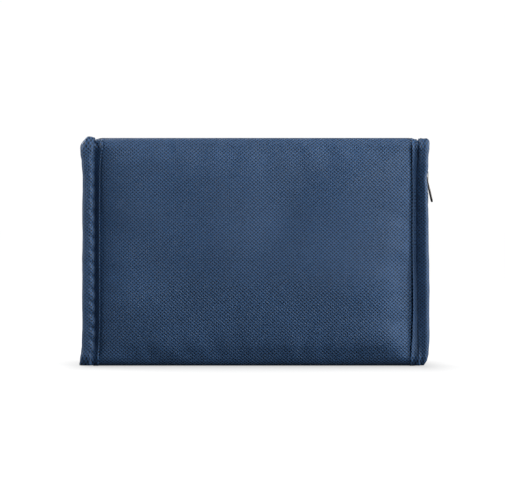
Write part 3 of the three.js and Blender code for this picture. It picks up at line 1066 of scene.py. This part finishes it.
def pocket(name, cover, seed, gape=0.6 * MM):
    low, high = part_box(name)
    trim_low, trim_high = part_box(f"{name}_trim")
    inward = 1 if cover == "front" else -1  # from the cover towards the middle of the case
    outside = high.y if cover == "front" else low.y
    foot, mouth = low.z, trim_high.z
    middle, half = (low.x + high.x) / 2, (high.x - low.x) / 2

    def bulge(x, z):
        """How far the cloth stands off, most in the middle of its mouth."""
        share = max(0.0, 1.0 - ((x - middle) / half) ** 2)
        rise = (z - foot) / (mouth - foot)
        wave = soft_wave(x, z, seed, POCKET_WAVE) * share
        return gape * share**1.5 * rise**2 + wave * rise

    # The pocket's cloth goes up from its foot and ends inside the trim.
    top = mouth - TRIM_FOLD
    bm = flat_cut(2 * half, top - foot, 2.5 * MM, 2.5 * MM)

    def place_cloth(across, along):
        x, z = middle - inward * across, foot + along
        return Vector((x, outside + inward * (bulge(x, z) - TRIM_THICK), z))

    lay(bm, place_cloth)
    cloth = make_piece(bm, f"{name}_cloth", LINING_CLOTH)
    thicken(cloth, POCKET_THICK)
    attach(cloth, f"{cover}_cover")
    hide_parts(name)

    # The trim goes up the outside of the mouth, over it and deeper down its inside.
    tall = mouth - trim_low.z
    deep = tall + TRIM_HEM
    wrap = Track(
        rounded_path(
            [(0.0, -tall), (0.0, 0.0), (-TRIM_FOLD, 0.0), (-TRIM_FOLD, -deep)],
            [0.28 * MM, 0.28 * MM],
            step=0.08 * MM,
        )
    )
    bm = flat_cut(2 * half, wrap.length, 2.5 * MM, 0.2 * MM)

    def place_trim(across, along):
        (out, down), _ = wrap.at(along)
        x, z = middle - inward * across, mouth + down
        return Vector((x, outside + inward * (bulge(x, z) + out), z))

    lay(bm, place_trim)
    trim = make_piece(bm, f"{name}_mouth_trim", NAVY_BINDING)
    thicken(trim, TRIM_THICK * 0.8)
    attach(trim, f"{cover}_cover")
    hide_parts(f"{name}_trim")

    # One row of stitches holds the trim, and one each side holds the pocket down.
    rows = []
    sewn = mouth - 0.65 * tall
    for point, direction in stitch_line((low.x + 1 * MM, 0, sewn), (high.x - 1 * MM, 0, sewn), 3 * MM):
        point.y = outside + inward * (bulge(point.x, sewn) + SUNK)
        rows.append((point, direction))
    for x in (low.x + 1.5 * MM, high.x - 1.5 * MM):
        if abs(x) < LIP_EDGE - 1.5 * MM:
            for point, direction in stitch_line((x, 0, foot + 1 * MM), (x, 0, mouth - tall), 3 * MM):
                point.y = outside + inward * (bulge(x, point.z) - TRIM_THICK + SUNK)
                rows.append((point, direction))
    seam(f"{name}_stitches", rows, f"{cover}_cover", length=2.2 * MM, radius=0.14 * MM)


pocket("document_pocket", "front", 21.0)
pocket("upper_card_pocket", "front", 22.0, gape=0.35 * MM)
pocket("middle_card_pocket", "front", 23.0, gape=0.35 * MM)
pocket("lower_card_pocket", "front", 24.0, gape=0.35 * MM)
pocket("ticket_pocket", "back", 25.0)
pocket("passport_pocket", "back", 26.0)
print("pockets made")

# %% [markdown]
# ## Pen loop
# Broad elastic, folded into a loop. Both its ends are sewn to the lining with two short
# bars of thread, so the loop is round with a flat foot.

# %% The pen loop
ELASTIC_THICK = 0.6 * MM
loop_low, loop_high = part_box("pen_loop")
loop_x = (loop_low.x + loop_high.x) / 2
loop_radius = (loop_high.x - loop_low.x) / 2
loop_wide = loop_high.z - loop_low.z
LOOP_FOOT = 2.6 * MM  # how far each end lies flat on the lining
LOOP_RIB = 0.04 * MM
loop_path = [Vector((-LOOP_FOOT, 0.05 * MM)), Vector((0.0, 0.0))]
for i in range(41):
    angle = -math.pi / 2 + 2 * math.pi * i / 40
    pull = 1.0 + 0.06 * math.sin(angle)
    reach = Vector((math.cos(angle) * loop_radius * pull, (1 + math.sin(angle)) * loop_radius))
    loop_path.append(reach + Vector((0.0, ELASTIC_THICK if i > 36 else 0.0)))
loop_path.append(Vector((LOOP_FOOT, ELASTIC_THICK)))
loop_track = Track(loop_path)
bm = flat_cut(loop_wide, loop_track.length, 2.0 * MM, 0.5 * MM)


def loop_place(across, along):
    (x, out), _ = loop_track.at(along)
    rib = LOOP_RIB * math.sin(2 * math.pi * across / (2.6 * MM))
    return Vector((loop_x + x, loop_low.y + out + rib, (loop_low.z + loop_high.z) / 2 - across))


lay(bm, loop_place)
pen_loop = make_piece(bm, "elastic_pen_loop", ELASTIC_CLOTH)
thicken(pen_loop, ELASTIC_THICK, offset=0.0)
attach(pen_loop, "front_cover")
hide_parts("pen_loop")
bar_y = loop_low.y + 1.25 * ELASTIC_THICK
bars = []
for z in (loop_low.z + 2 * MM, loop_high.z - 2 * MM):
    bars += stitch_line((loop_x - 2.2 * MM, bar_y, z), (loop_x + 2.2 * MM, bar_y, z), 1.1 * MM)
seam("pen_loop_stitches", bars, "front_cover", length=1.0 * MM, radius=0.16 * MM)
print("the pen loop takes", round(loop_track.length / MM, 1), "mm of elastic")


# %% [markdown]
# ## Zip tapes
# Each cover carries half of the zip: a woven tape that goes up one side, over the top and
# down the other. Its far edge is caught in the cover's seam.

# %% The tapes
TAPE_TUCK = 1.0 * MM  # how far the tape's edge goes into the seam
TAPE_FABRIC = 0.4 * MM
TAPE_BEND = 8.0 * MM
TAPE_LIFT = 0.12 * MM  # how far it lifts where the coil is sewn to it
tape_x, tape_top, tape_foot = tape_high.x, tape_high.z, tape_low.z


def zip_path(rise, foot):
    """The line of the zip, this far off the tape, from foot to foot."""
    x, z = tape_x + rise, tape_top + rise
    bend = TAPE_BEND + rise
    corners = [(-x, foot), (-x, z), (x, z), (x, foot)]
    return Track(rounded_path(corners, [bend, bend], step=0.8 * MM))


def zip_tape(cover):
    path = zip_path(0.0, tape_foot)
    y_out, y_in = tape_low.y - TAPE_TUCK, tape_high.y
    width = y_in - y_out
    bm = flat_cut(width, path.length, 0.8 * MM, 1.6 * MM)

    def place(across, along):
        (x, z), (dx, dz) = path.at(along)
        y = (y_in + y_out) / 2 - across
        lift = TAPE_LIFT * math.exp(-(((y - y_in) / (1.2 * MM)) ** 2))
        return Vector((x - dz * lift, y, z + dx * lift))

    lay(bm, place)
    if cover == "back":
        half_turn(bm)
    piece = make_piece(bm, f"{cover}_tape", TAPE_CLOTH)
    thicken(piece, TAPE_FABRIC)
    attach(piece, f"{cover}_cover")
    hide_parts(f"{cover}_zip_tape")
    return path


tape_path = zip_tape("front")
zip_tape("back")
print("a tape is", round(tape_path.length / MM), "mm long")

# %% [markdown]
# ## Zip coils
# The teeth of a coil zip are one nylon thread wound into a flat spiral, sewn along the
# tape's edge. Its rounded heads reach just past the middle, where they lie between the
# heads of the other coil, half a turn on. A curve with a round bevel draws such a wire, and
# its turns come from a loop that walks along the tape.

# %% The coils
COIL_PITCH = 1.45 * MM
COIL_WIRE = 0.29 * MM
COIL_REACH = 0.3 * MM  # how far the heads pass the middle
COIL_BACK = -coil_low.y
COIL_RISE = coil_high.x - tape_x
COIL_FOOT = 0.2 * MM  # how far the coil is off the tape
TURN_POINTS = 8
SQUARED = 0.6  # gives a turn flat legs with a round head and a round back
THREAD_WIRE = 0.13 * MM


def draw_line(curve, points, closed=False):
    line = curve.splines.new("POLY")
    line.points.add(len(points) - 1)
    for point, place in zip(line.points, points):
        point.co = (*place, 1.0)
    line.use_cyclic_u = closed


def curve_to_bmesh(curve, merge):
    """The closed mesh that a curve draws. Points nearer than merge become one."""
    drawn = bpy.data.objects.new("drawn", curve)
    bpy.context.scene.collection.objects.link(drawn)
    seen = drawn.evaluated_get(bpy.context.evaluated_depsgraph_get())
    mesh = bpy.data.meshes.new_from_object(seen)
    bm = bmesh.new()
    bm.from_mesh(mesh)
    bmesh.ops.remove_doubles(bm, verts=bm.verts, dist=merge)
    bmesh.ops.recalc_face_normals(bm, faces=bm.faces)
    bpy.data.objects.remove(drawn)
    bpy.data.curves.remove(curve)
    bpy.data.meshes.remove(mesh)
    return bm


def wire(name, points, radius, material):
    """A thin thread through the points, as a closed mesh."""
    curve = bpy.data.curves.new(name, "CURVE")
    curve.dimensions = "3D"
    curve.bevel_depth = radius
    curve.bevel_resolution = 0
    curve.use_fill_caps = True
    draw_line(curve, points)
    return make_piece(curve_to_bmesh(curve, 1e-6), name, material)


def squared(value):
    return math.copysign(abs(value) ** SQUARED, value)


def zip_coil(cover, shift):
    path = zip_path(0.0, coil_low.z)
    turns = int((path.length - COIL_PITCH) / COIL_PITCH)
    back, head = -COIL_BACK + COIL_WIRE, COIL_REACH
    high = COIL_RISE - COIL_FOOT - 2 * COIL_WIRE
    points = []
    for i in range(turns * TURN_POINTS):
        angle = 2 * math.pi * i / TURN_POINTS
        (x, z), (dx, dz) = path.at((i / TURN_POINTS + shift) * COIL_PITCH)
        y = (back + head) / 2 + squared(math.cos(angle)) * (head - back) / 2
        rise = COIL_FOOT + COIL_WIRE + (0.5 + 0.5 * squared(math.sin(angle))) * high
        points.append(Vector((x - dz * rise, y, z + dx * rise)))
    if cover == "back":
        points = [Vector((-p.x, -p.y, p.z)) for p in points]
    piece = wire(f"{cover}_coil", points, COIL_WIRE, COIL_PLASTIC)
    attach(piece, f"{cover}_cover")
    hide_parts(f"{cover}_zip_coil")
    # Two threads lie over the coil and hold it to the tape.
    for number, y in enumerate((-COIL_BACK + 0.8 * MM, -COIL_BACK + 1.4 * MM)):
        over = zip_path(COIL_RISE + 0.08 * MM, coil_low.z)
        steps = int(over.length / (1.6 * MM))
        line = []
        for i in range(steps + 1):
            (x, z), _ = over.at(over.length * i / steps)
            line.append(Vector((x, y, z)) if cover == "front" else Vector((-x, -y, z)))
        held = wire(f"{cover}_coil_thread_{number + 1}", line, THREAD_WIRE, NAVY_THREAD)
        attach(held, f"{cover}_cover")
    return turns


coil_turns = zip_coil("front", 0.0)
zip_coil("back", 0.5)
print("each coil has", coil_turns, "turns")

# %% [markdown]
# Metal clamps end the coils, so that the sliders can't run off. Each is a little block with
# rounded edges, pressed round the coil's last turn.

# %% The stops
for cover in ("front", "back"):
    for label in ("left", "right"):
        node = f"{cover}_{label}_zip_stop"
        piece = soft_block(f"{cover}_{label}_stop", node, GUNMETAL, 0.5 * MM)
        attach(piece, f"{cover}_cover")
print("stops made")

# %% [markdown]
# A tab of folded cloth closes the gap under each end of the zip. It is a strip folded over
# the ends of both tapes.

# %% The end tabs
TAB_THICK = 0.3 * MM
for label, side in {"left": -1, "right": 1}.items():
    low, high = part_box(f"{label}_zip_end_tab")
    outer = max(abs(low.x), abs(high.x)) + 0.45 * MM
    inner = min(abs(low.x), abs(high.x)) + 0.1 * MM
    foot, top = low.z - 1.0 * MM, high.z + 1.3 * MM
    middle, half = (low.y + high.y) / 2, (high.y - low.y) / 2
    fold = (outer - inner) * 0.48
    corners = [(outer, foot), (outer, top), (inner, top), (inner, foot)]
    path = Track(rounded_path(corners, [fold, fold], step=0.1 * MM))
    bm = flat_cut(2 * half, path.length, 1.5 * MM, 0.3 * MM)

    def tab_place(across, along):
        (x, z), _ = path.at(along)
        sag = 0.12 * MM * math.cos(math.pi * across / (2 * half))
        return Vector((side * (x + sag), middle - side * across, z))

    lay(bm, tab_place)
    bmesh.ops.reverse_faces(bm, faces=bm.faces)
    tab = make_piece(bm, f"{label}_end_tab", NAVY_BINDING)
    thicken(tab, TAB_THICK)
    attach(tab, "base")
    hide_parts(f"{label}_zip_end_tab")
    z = top - 2.2 * MM
    x = side * (outer + 0.12 * MM)
    rows = stitch_line((x, middle - half + 1 * MM, z), (x, middle + half - 1 * MM, z), 2.6 * MM)
    seam(f"{label}_end_tab_stitches", rows, "base", length=1.9 * MM, radius=0.16 * MM)
print("a tab is", round(path.length / MM, 1), "mm long before folding")

# %% [markdown]
# ## Sliders and pullers
# A slider is a small zinc casting: two plates with turned-down sides, a post between them
# that parts the coils, and a bridge that the puller hangs from. The parts are outlines given
# a thickness. A flat curve makes them best, because it takes holes and rounds the cut edges.


# %% Helpers for metal plates
def arc(centre, radius, start, end, count=12):
    """Points on an arc, angles in degrees."""
    cx, cy = centre
    points = []
    for i in range(count + 1):
        angle = math.radians(start + (end - start) * i / count)
        points.append((cx + radius * math.cos(angle), cy + radius * math.sin(angle)))
    return points


def plate(outlines, thickness, edge):
    """A flat plate with holes and rounded cut edges. It lies on x, y, its middle at z = 0."""
    curve = bpy.data.curves.new("plate", "CURVE")
    curve.dimensions = "2D"
    curve.fill_mode = "BOTH"
    curve.extrude = thickness / 2 - edge
    curve.bevel_depth = edge
    curve.bevel_resolution = 2
    curve.offset = -edge
    for outline in outlines:
        draw_line(curve, [(x, y, 0.0) for x, y in outline], closed=True)
    return curve_to_bmesh(curve, 2e-6)


# A plate's x, y, z become the slider's y, z, x: width, length and height off the tape.
STAND_UP = Matrix(((0, 0, 1), (1, 0, 0), (0, 1, 0))).to_4x4()
# A plate's x, y, z become the slider's x, z, -y: height, length and width.
SIDE_ON = Matrix(((1, 0, 0), (0, 0, -1), (0, 1, 0))).to_4x4()


def join_into(whole, part, matrix):
    """Adds one bmesh to another after moving it."""
    bmesh.ops.transform(part, matrix=matrix, verts=part.verts)
    mesh = bpy.data.meshes.new("part")
    part.to_mesh(mesh)
    part.free()
    whole.from_mesh(mesh)
    bpy.data.meshes.remove(mesh)


def finish_casting(bm, name, node, joint, turn):
    """Turns a casting about its pivot, moves it to its joint and gives it its body."""
    bmesh.ops.rotate(bm, verts=bm.verts, cent=(0, 0, 0), matrix=turn)
    bmesh.ops.translate(bm, verts=bm.verts, vec=joint["pos_m"])
    piece = make_piece(bm, name, GUNMETAL, smooth=False)
    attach(piece, node)
    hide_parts(node)


print("plates can be cut")

# %% [markdown]
# The slider is drawn about its puller's pivot: +x stands off the tape, and the wide end,
# where the coils part, points to +z. The upper slider is the same casting turned end for
# end, so their wide ends meet.

# %% The sliders
upper_joint, lower_joint = hinges["upper_puller_swing"], hinges["lower_puller_swing"]
PLATE_THICK = 0.7 * MM
PLATE_EDGE = 0.18 * MM  # rounding of the cut edges
WALL_DEEP = 1.5 * MM
SPAN = 4.4 * MM  # half the bridge's length
SHOULDER = 1.4 * MM
slider_low, slider_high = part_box("lower_slider")
PIVOT_X = lower_joint["pos_m"][0]
HALF_LONG = (slider_high.z - slider_low.z) / 2
BRIDGE_TOP = slider_high.x - PIVOT_X
UNDER_FACE = slider_low.x - PIVOT_X  # outer face of the plate under the tape
TOP_FACE = -1.2 * MM  # outer face of the plate over the coil
# Half the plate's width, in millimetres, at shares of its half length.
PLATE_HALVES = ((-1.0, 3.35), (-0.15, 3.9), (0.3, 4.8), (0.75, 4.8), (1.0, 3.6))


def slider_outline(grow=0.0):
    """The plate's outline with a notch in its wide end, larger all round by grow."""
    right = [((half + grow) * MM, share * (HALF_LONG + grow * MM)) for share, half in PLATE_HALVES]
    left = [(-x, z) for x, z in reversed(right)]
    notch = [(0.9 * MM, HALF_LONG), (0.0, HALF_LONG - 1.0 * MM), (-0.9 * MM, HALF_LONG)]
    return right + notch + left


def slider_casting(name, joint, node, turn):
    bm = bmesh.new()
    top = plate([slider_outline()], PLATE_THICK, PLATE_EDGE)
    join_into(bm, top, Matrix.Translation((TOP_FACE - PLATE_THICK / 2, 0, 0)) @ STAND_UP)
    under = plate([slider_outline(-0.1)], PLATE_THICK, PLATE_EDGE)
    join_into(bm, under, Matrix.Translation((UNDER_FACE + PLATE_THICK / 2, 0, 0)) @ STAND_UP)
    # The sides turn down over the coils from the narrow end to where the plate widens.
    wall_outline = [
        (0, -HALF_LONG + 0.1 * MM),
        (WALL_DEEP, -HALF_LONG + 0.6 * MM),
        (WALL_DEEP, 2.6 * MM),
        (0, 3.6 * MM),
    ]
    wall_x = TOP_FACE - PLATE_THICK - WALL_DEEP + 0.3 * MM
    for side in (-1, 1):
        wall = plate([wall_outline], 0.55 * MM, 0.15 * MM)
        lean = Matrix.Rotation(side * math.radians(-6), 4, "X")
        place = Matrix.Translation((wall_x, side * 3.55 * MM, 0.2 * MM))
        join_into(bm, wall, place @ lean @ SIDE_ON)
    # The post that parts the coils is a wedge, sharp towards the narrow end.
    tall = TOP_FACE - UNDER_FACE - PLATE_THICK
    wedge = [(0, 1.2), (0.75, 3.4), (0.6, 5.6), (-0.6, 5.6), (-0.75, 3.4)]
    post = plate([[(x * MM, y * MM) for x, y in wedge]], tall, 0.1 * MM)
    join_into(bm, post, Matrix.Translation(((TOP_FACE + UNDER_FACE) / 2, 0, 0)) @ STAND_UP)
    # The bridge is a flat arch with round shoulders: its outer line, then its inner one.
    feet = TOP_FACE - 0.3 * MM
    arch = [(feet, -SPAN)]
    arch += arc((BRIDGE_TOP - SHOULDER, -SPAN + SHOULDER), SHOULDER, -90, 0)
    arch += arc((BRIDGE_TOP - SHOULDER, SPAN - SHOULDER), SHOULDER, 0, 90)
    arch.append((feet, SPAN))
    inner_span, inner_top, inner_round = SPAN - 1.1 * MM, BRIDGE_TOP - 0.42 * MM, 0.9 * MM
    arch.append((feet, inner_span))
    arch += arc((inner_top - inner_round, inner_span - inner_round), inner_round, 90, 0)
    arch += arc((inner_top - inner_round, -inner_span + inner_round), inner_round, 0, -90)
    arch.append((feet, -inner_span))
    bridge = plate([arch], 2.0 * MM, 0.16 * MM)
    join_into(bm, bridge, SIDE_ON)
    finish_casting(bm, name, node, joint, turn)


slider_casting("upper_slider_casting", upper_joint, "upper_slider", Matrix.Rotation(math.pi, 3, "X"))
slider_casting("lower_slider_casting", lower_joint, "lower_slider", Matrix.Identity(3))
print("a slider is", round(2 * HALF_LONG / MM, 1), "mm long")

# %% [markdown]
# A puller is a flat tongue with a long eye. The eye's end bar sits inside the bridge and
# turns there. The tongue is thicker at its grip end, with a shallow framed panel, as cast
# pullers have.

# %% The pullers
PULLER_LONG = 17.0 * MM
EYE_END = 0.45 * MM
PULLER_THICK = 1.0 * MM
NECK = 2.1 * MM  # half the width at the eye
GRIP = 2.9 * MM  # half the width at the grip, and the radius of its end


def puller(name, joint, node, tilt):
    grip_centre = (0, -PULLER_LONG + GRIP)
    outline = [(-NECK, EYE_END), (-GRIP, -8 * MM), (-GRIP, grip_centre[1])]
    outline += arc(grip_centre, GRIP, 180, 360, 20)[1:]
    outline += [(GRIP, -8 * MM), (NECK, EYE_END)]
    eye = [(-1.3 * MM, -EYE_END), (-1.5 * MM, -5.6 * MM), (1.5 * MM, -5.6 * MM), (1.3 * MM, -EYE_END)]
    bm = bmesh.new()
    tongue = plate([outline, eye], PULLER_THICK, 0.2 * MM)
    join_into(bm, tongue, STAND_UP)
    # The frame round the panel: its outer and its inner line.
    rims = []
    for half, top in ((2.5 * MM, -7.6 * MM), (1.9 * MM, -8.2 * MM)):
        bend = arc(grip_centre, half, 180, 360, 16)[1:]
        rims.append([(-half, top), (-half, grip_centre[1])] + bend + [(half, top)])
    rim = plate(rims, PULLER_THICK + 0.3 * MM, 0.14 * MM)
    join_into(bm, rim, STAND_UP)
    finish_casting(bm, name, node, joint, Matrix.Rotation(-tilt, 3, "Y"))


# The solid says how far the upper puller leans: its low end stands this far out.
_, pull_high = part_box("upper_puller")
lean_out = pull_high.x - upper_joint["pos_m"][0] - PULLER_THICK / 2
UPPER_LEAN = math.asin(min(1.0, lean_out / PULLER_LONG))
print("the upper puller leans out", round(math.degrees(UPPER_LEAN), 1), "degrees")
puller("upper_puller_tongue", upper_joint, "upper_puller", UPPER_LEAN)
puller("lower_puller_tongue", lower_joint, "lower_puller", 0.0)

# %% [markdown]
# ## Floor, light and camera
# A plain white floor runs to a white distance. It gives back light of its own, so that it
# stays white, and less of it close to the case: a painted soft contact shadow, added to the real one.


# %% The floor
FLOOR_HALF = 6.0
FLOOR_DROP = 0.05 * MM  # keeps the floor clear of the cloth that lies on it
PAINTED_SHADOW_DEPTH = 0.44
PAINTED_SHADOW_FADE = 17.0


def floor():
    bm = bmesh.new()
    bmesh.ops.create_grid(bm, x_segments=1, y_segments=1, size=FLOOR_HALF)
    f = Finish("white floor", **{"Base Color": (0.1, 0.1, 0.1), "Roughness": 0.9})
    piece = make_piece(bm, "floor", f.material, smooth=False)
    piece.location.z = -FLOOR_DROP
    # How far a place is from the organizer's own outline on the floor.
    axes = f.add("SeparateXYZ", {0: f.place()})
    beyond_x = f.math("SUBTRACT", f.math("ABSOLUTE", axes.outputs[0]), ROLL_EDGE - 6 * MM)
    past_x = f.math("MULTIPLY", f.math("MAXIMUM", beyond_x, 0.0), 3.0)
    past_y = f.math("MAXIMUM", f.math("SUBTRACT", f.math("ABSOLUTE", axes.outputs[1]), FACE), 0.0)
    away = f.math("POWER", f.math("ADD", f.math("POWER", past_x, 2.0), f.math("POWER", past_y, 2.0)), 0.5)
    # Painted contact shadow: the floor's glow is less near the case.
    shade = f.math("MULTIPLY", PAINTED_SHADOW_DEPTH, f.math("EXPONENT", f.math("MULTIPLY", away, -PAINTED_SHADOW_FADE)))
    seen = f.add("LightPath").outputs["Is Camera Ray"]
    glow = f.math("MULTIPLY", f.math("SUBTRACT", 1.0, shade), seen)
    f.give(f.surface, {"Emission Color": (1.0, 1.0, 1.0), "Emission Strength": glow})


floor()
print("floor made")

# %% [markdown]
# A high key light, a wide one from the right and a weak one from the front shape the cloth.
# Two small ones beside the case bring out its bound edges, and two from behind light the
# back and the top. The world is white where the camera looks past the case, and gives only
# a dim even light.


# %% The lights
def soft_light(name, where, aim, width, height, power):
    data = bpy.data.lights.new(name, "AREA")
    data.shape = "RECTANGLE"
    data.size, data.size_y = width, height
    data.energy = power
    light = bpy.data.objects.new(name, data)
    bpy.context.scene.collection.objects.link(light)
    light.location = where
    light.rotation_euler = (Vector(aim) - Vector(where)).to_track_quat("-Z", "Y").to_euler()


def white_surroundings():
    """White where the camera looks past the object, and a dim even light on it."""
    world = bpy.data.worlds.new("white surroundings")
    bpy.context.scene.world = world
    world.use_nodes = True
    tree = world.node_tree
    tree.nodes.clear()
    seen = tree.nodes.new("ShaderNodeBackground")
    seen.inputs["Color"].default_value = (1.0, 1.0, 1.0, 1.0)
    seen.inputs["Strength"].default_value = 1.02
    dim = tree.nodes.new("ShaderNodeBackground")
    dim.inputs["Color"].default_value = (0.95, 0.98, 1.0, 1.0)
    dim.inputs["Strength"].default_value = 0.025
    path = tree.nodes.new("ShaderNodeLightPath")
    mix = tree.nodes.new("ShaderNodeMixShader")
    out = tree.nodes.new("ShaderNodeOutputWorld")
    tree.links.new(path.outputs["Is Camera Ray"], mix.inputs[0])
    tree.links.new(dim.outputs[0], mix.inputs[1])
    tree.links.new(seen.outputs[0], mix.inputs[2])
    tree.links.new(mix.outputs[0], out.inputs["Surface"])


white_surroundings()
MIDDLE = (0.0, 0.0, 0.07)
LEFT_ROLL = (-0.11, 0.0, 0.09)
RIGHT_ROLL = (0.11, 0.0, 0.09)
soft_light("key", (0.45, -0.5, 1.3), MIDDLE, 0.35, 0.35, 7.6)
soft_light("right", (1.3, -0.35, 0.35), MIDDLE, 0.4, 0.6, 10.5)
soft_light("front", (0.75, -1.4, 0.5), MIDDLE, 0.6, 0.6, 7.8)
soft_light("left", (-0.6, -0.03, 0.3), LEFT_ROLL, 0.25, 0.25, 2.0)
soft_light("beside", (1.1, 0.0, 0.45), RIGHT_ROLL, 0.3, 0.3, 0.6)
soft_light("back", (-0.75, 0.95, 0.95), MIDDLE, 0.7, 0.7, 12.0)
soft_light("back right", (1.1, 0.9, 0.5), MIDDLE, 0.6, 0.6, 5.0)
print(len(bpy.data.lights), "lights")

# %% [markdown]
# A long lens, a little above the middle of the case, keeps its edges nearly parallel.

# %% The camera
CAMERA_BACK = 2.4
CAMERA_HEIGHT = 0.125
SENSOR = 36.0
PICTURE_WIDTH = 0.3307  # what the picture takes in, at the front cover
camera_data = bpy.data.cameras.new("camera")
camera = bpy.data.objects.new("camera", camera_data)
bpy.context.scene.collection.objects.link(camera)
bpy.context.scene.camera = camera
aim = Vector((-0.0021, -FACE, 0.0762))
camera.location = (aim.x, -CAMERA_BACK, CAMERA_HEIGHT)
camera.rotation_euler = (aim - camera.location).to_track_quat("-Z", "Y").to_euler()
camera_data.sensor_width = SENSOR
camera_data.lens = SENSOR * (aim - camera.location).length / PICTURE_WIDTH
camera_data.clip_start, camera_data.clip_end = 0.05, 30.0
bpy.context.scene.view_settings.view_transform = "Standard"
print("lens", round(camera_data.lens), "mm")
